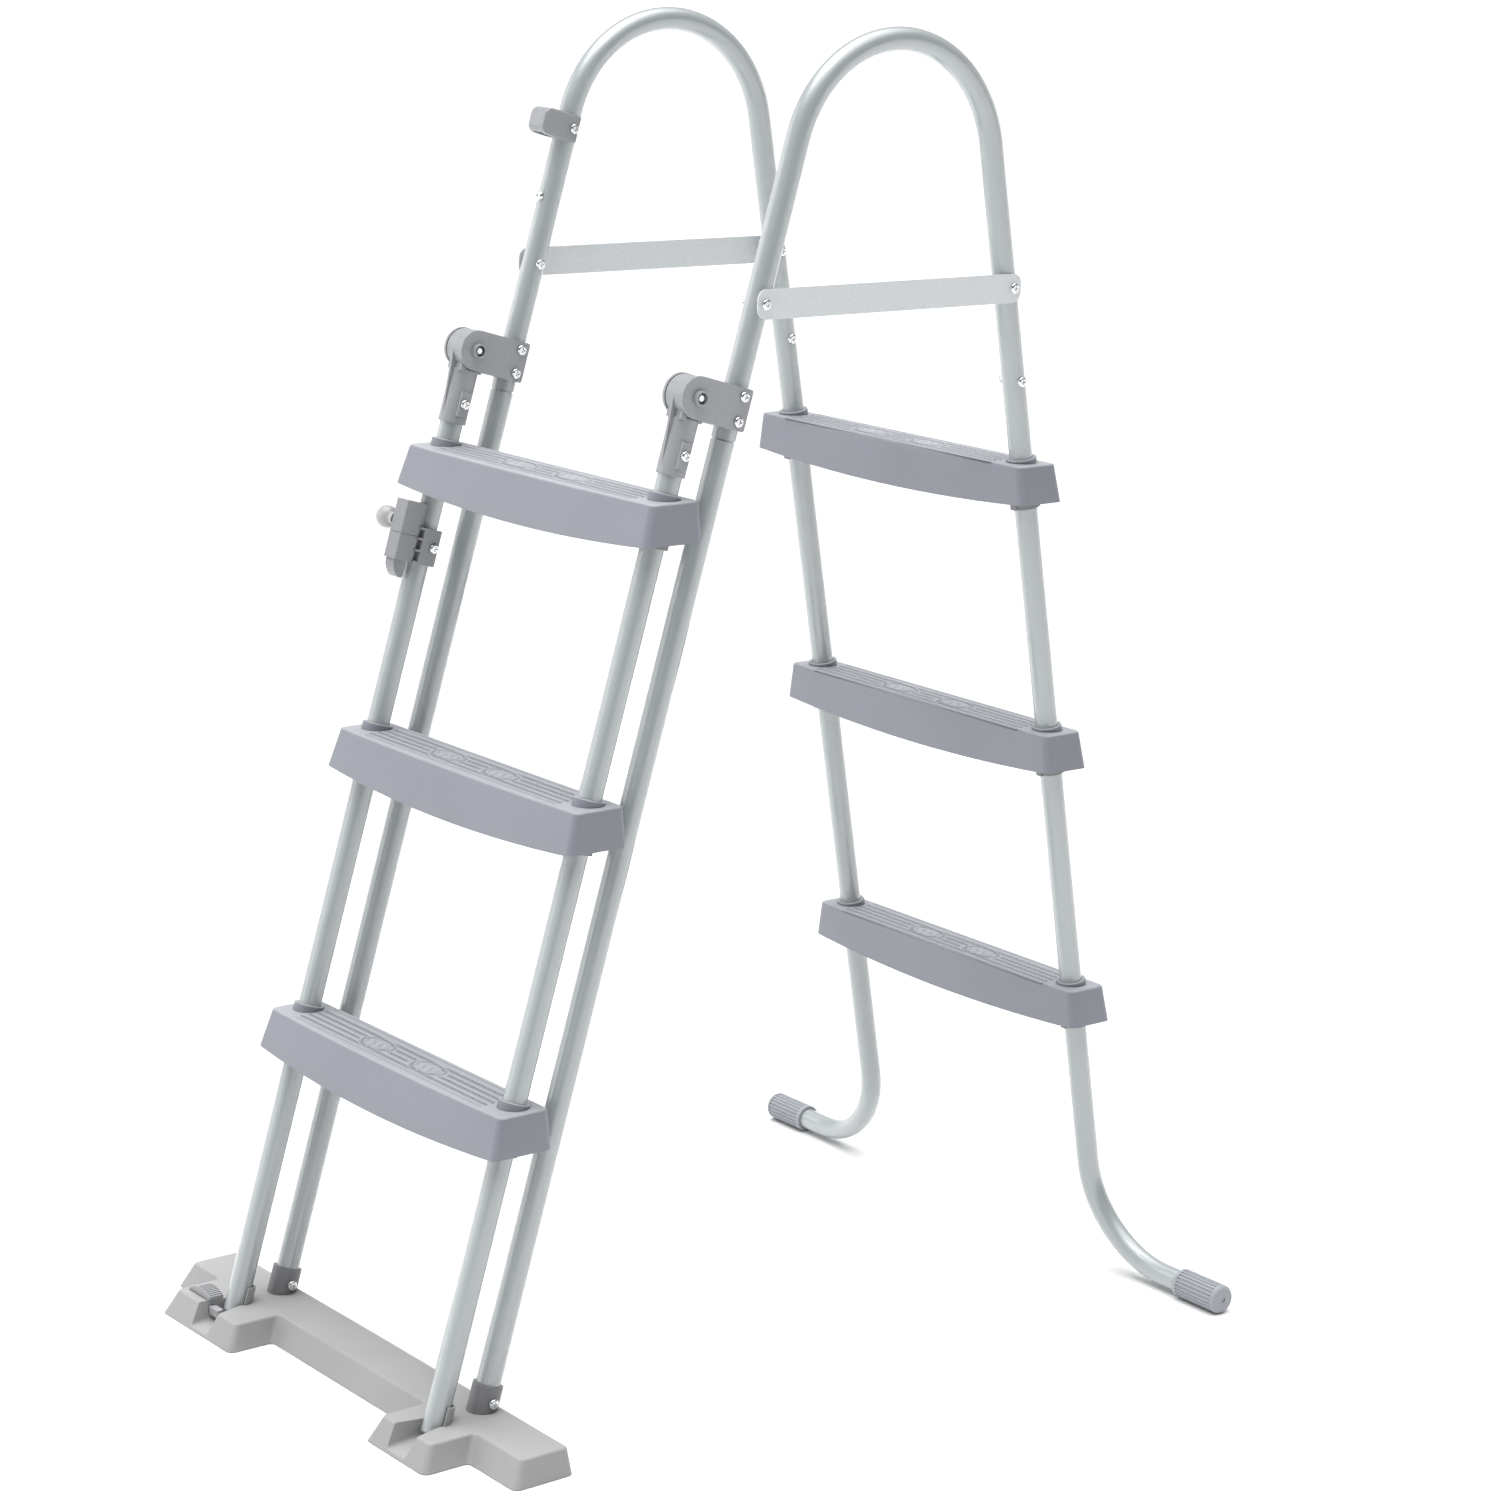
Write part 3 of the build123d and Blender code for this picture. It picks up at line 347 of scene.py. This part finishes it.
def grip_pattern(x, y):
    """Moulded grip pattern from 0 in its valleys to 1 on its ridges: rope rows round two oval pads."""
    ovals = np.zeros(x.shape)
    near_oval = np.full(x.shape, 9.0)
    for centre in (-OVAL_X, OVAL_X):
        along, across = x - centre, y - OVAL_Y
        r = np.hypot(along / OVAL_RX, across / OVAL_RY)
        near_oval = np.minimum(near_oval, r)
        rim = np.exp(-(((r - RIM_AT) / RIM_HALF) ** 2))
        wave = np.sin(along / (1.9 * MM) + 1.8 * np.sin(across / (3.4 * MM)))
        swirl = (0.42 + 0.4 * wave) * (r < FILLING_TO)
        ovals = np.maximum(ovals, np.maximum(rim, swirl) * (r < CLEAR_FROM))
    clear_of_oval = np.clip((near_oval - CLEAR_FROM) / 0.06, 0, 1)
    rope = np.zeros(x.shape)
    for i, row in enumerate(GRIP_ROWS):
        across = (y - row) / ROPE_HALF
        body = np.sqrt(np.clip(1 - across**2, 0, 1))
        twist = 0.55 + 0.45 * np.cos(2 * np.pi * (x / ROPE_PITCH + across * ROPE_LEAN + 0.5 * i))
        rope = np.maximum(rope, body * twist)
    border = sum(np.exp(-(((y - edge) / BORDER_HALF) ** 2)) for edge in GRIP_EDGE) * BORDER_RISE
    return np.maximum(np.maximum(rope * clear_of_oval, border), ovals)


def grip_sheet(name, body, axis_y, top_z):
    """The grip pattern on top of a tread, as one sheet whose border dips below the walking surface."""
    nx, ny = GRIP_GRID
    xs = np.linspace(-GRIP_HALF_X, GRIP_HALF_X, nx)
    ys = np.linspace(GRIP_EDGE[0] - GRIP_MARGIN, GRIP_EDGE[1] + GRIP_MARGIN, ny)
    gx, gy = np.meshgrid(xs, ys)
    pattern = grip_pattern(gx, gy)
    edge = np.clip((GRIP_HALF_X - np.abs(gx)) / GRIP_MARGIN, 0, 1)
    gz = -GRIP_SKIRT + edge * (GRIP_SKIRT + GRIP_FLOOR + pattern * GRIP_RISE)
    gz[0] = gz[-1] = -GRIP_SKIRT
    verts = np.stack([gx, gy + axis_y, gz + top_z], axis=-1).reshape(-1, 3)
    index = np.arange(nx * ny).reshape(ny, nx)
    quads = np.stack([index[:-1, :-1], index[:-1, 1:], index[1:, 1:], index[1:, :-1]], axis=-1).reshape(-1, 4)
    obj = piece(name, verts.tolist(), quads.tolist(), body, "tread")
    # Per-point mask for painted shade on the pattern's steep flanks.
    slope = np.hypot(*np.gradient(pattern, ys[1] - ys[0], xs[1] - xs[0]))
    shade = obj.data.attributes.new("grip_flank_shade", "FLOAT", "POINT")
    flank = np.clip(slope * FLANK_WIDTH - SMOOTH_FLANK, 0, 1)
    shade.data.foreach_set("value", flank.astype(np.float32).reshape(-1))
    return obj


for level, top in TREAD_TOP.items():
    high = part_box(f"outer_step_{level}")[1]
    grip_sheet(f"grip_outer_{level}", "flip_ladder", high.y - OUTER_AXIS_INSET, top)
    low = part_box(f"inner_step_{level}")[0]
    grip_sheet(f"grip_inner_{level}", "frame", low.y + INNER_AXIS_INSET, top)


# ---------------------------------------------------------------- stage, light, camera
FLOOR_HALF = 60.0
FLOOR_DROP = 0.4 * MM


def floor():
    """A pale studio floor just under the feet."""
    mesh = bpy.data.meshes.new("floor")
    size = FLOOR_HALF
    corners = [(-size, -size, 0), (size, -size, 0), (size, size, 0), (-size, size, 0)]
    mesh.from_pydata(corners, [], [(0, 1, 2, 3)])
    obj = bpy.data.objects.new("floor", mesh)
    bpy.context.scene.collection.objects.link(obj)
    t = Tree("studio_floor")
    t.bsdf.inputs["Base Color"].default_value = (0.96, 0.96, 0.96, 1)
    t.bsdf.inputs["Roughness"].default_value = 0.7
    t.bsdf.inputs["Specular IOR Level"].default_value = 0.2
    mesh.materials.append(t.material)
    obj.location.z = -FLOOR_DROP


HORIZON = 1.15
SKY = 0.4
ZENITH_GLOW = 2.9
SIDE_DIM = 0.95
HORIZON_TOP = (0.1, 0.3)
GLOW_BAND = (0.6, 0.98)
DIM_BAND = (0.0, 0.8)

# Name, place, point it looks at, width and height, watts.
LIGHTS = (
    ("key", (-3.8, -2.6, 2.8), (0, 0, 0.7), (2.4, 2.4), 26),
    ("strip", (-1.9, -3.3, 1.5), (0, 0, 0.8), (0.35, 2.6), 9),
    ("top", (-0.4, -0.4, 4.4), (0, 0, 0), (3.0, 3.0), 60),
)


def area_light(name, place, target, size, watts):
    """A white rectangular lamp."""
    data = bpy.data.lights.new(name, "AREA")
    data.shape = "RECTANGLE"
    data.size, data.size_y = size
    data.energy = watts
    obj = bpy.data.objects.new(name, data)
    bpy.context.scene.collection.objects.link(obj)
    obj.location = place
    obj.rotation_euler = (Vector(target) - Vector(place)).to_track_quat("-Z", "Y").to_euler()


def ranged(nodes, links, value, low, high):
    """0 to 1, smoothly, as the value goes from low to high."""
    node = nodes.new("ShaderNodeMapRange")
    node.interpolation_type = "SMOOTHSTEP"
    node.inputs["From Min"].default_value = low
    node.inputs["From Max"].default_value = high
    links.new(value, node.inputs["Value"])
    return node.outputs["Result"]


def combine(nodes, links, operation, a, b, c=0.0):
    """One maths node on numbers or sockets."""
    node = nodes.new("ShaderNodeMath")
    node.operation = operation
    for socket, value in zip(node.inputs, (a, b, c)):
        if isinstance(value, bpy.types.NodeSocket):
            links.new(value, socket)
        else:
            socket.default_value = value
    return node.outputs[0]


def studio():
    """White at the horizon and glowing overhead, with a darker sky between them, darkest on +X."""
    world = bpy.data.worlds.new("studio")
    world.use_nodes = True
    nodes, links = world.node_tree.nodes, world.node_tree.links
    background = nodes["Background"]
    split = nodes.new("ShaderNodeSeparateXYZ")
    links.new(nodes.new("ShaderNodeTexCoord").outputs["Generated"], split.inputs[0])
    above = ranged(nodes, links, split.outputs["Z"], *HORIZON_TOP)
    glow = ranged(nodes, links, split.outputs["Z"], *GLOW_BAND)
    side = ranged(nodes, links, split.outputs["X"], *DIM_BAND)
    strength = combine(nodes, links, "MULTIPLY_ADD", above, SKY - HORIZON, HORIZON)
    shade = combine(nodes, links, "MULTIPLY_ADD", side, -SIDE_DIM, 1.0)
    strength = combine(nodes, links, "MULTIPLY", strength, shade)
    strength = combine(nodes, links, "MULTIPLY_ADD", glow, ZENITH_GLOW, strength)
    background.inputs["Color"].default_value = (1, 1, 1, 1)
    links.new(strength, background.inputs["Strength"])
    bpy.context.scene.world = world
    for light in LIGHTS:
        area_light(*light)
    bpy.context.scene.view_settings.view_transform = "Standard"


CAMERA_PLACE = (3.1371, -2.4233, 1.5966)
CAMERA_AZIMUTH = 51.234
CAMERA_ELEVATION = 13.617
CAMERA_ROLL = 1.696
CAMERA_LENS = 89.42
CAMERA_SENSOR = 36.0


def camera():
    """A camera turned from +Y by the azimuth, looking down by the elevation, leaning by the roll."""
    data = bpy.data.cameras.new("camera")
    data.sensor_width = CAMERA_SENSOR
    data.lens = CAMERA_LENS
    obj = bpy.data.objects.new("camera", data)
    bpy.context.scene.collection.objects.link(obj)
    az, el, roll = (math.radians(a) for a in (CAMERA_AZIMUTH, CAMERA_ELEVATION, CAMERA_ROLL))
    forward = Vector((-math.sin(az) * math.cos(el), math.cos(az) * math.cos(el), -math.sin(el)))
    level = Vector((math.cos(az), math.sin(az), 0))
    above = level.cross(forward)
    right = level * math.cos(roll) + above * math.sin(roll)
    up = above * math.cos(roll) - level * math.sin(roll)
    obj.matrix_world = Matrix.Translation(CAMERA_PLACE) @ Matrix((right, up, -forward)).transposed().to_4x4()
    data.clip_start, data.clip_end = 0.05, 100.0
    bpy.context.scene.camera = obj


floor()
studio()
camera()

for obj in NODES.values():
    smooth(obj)
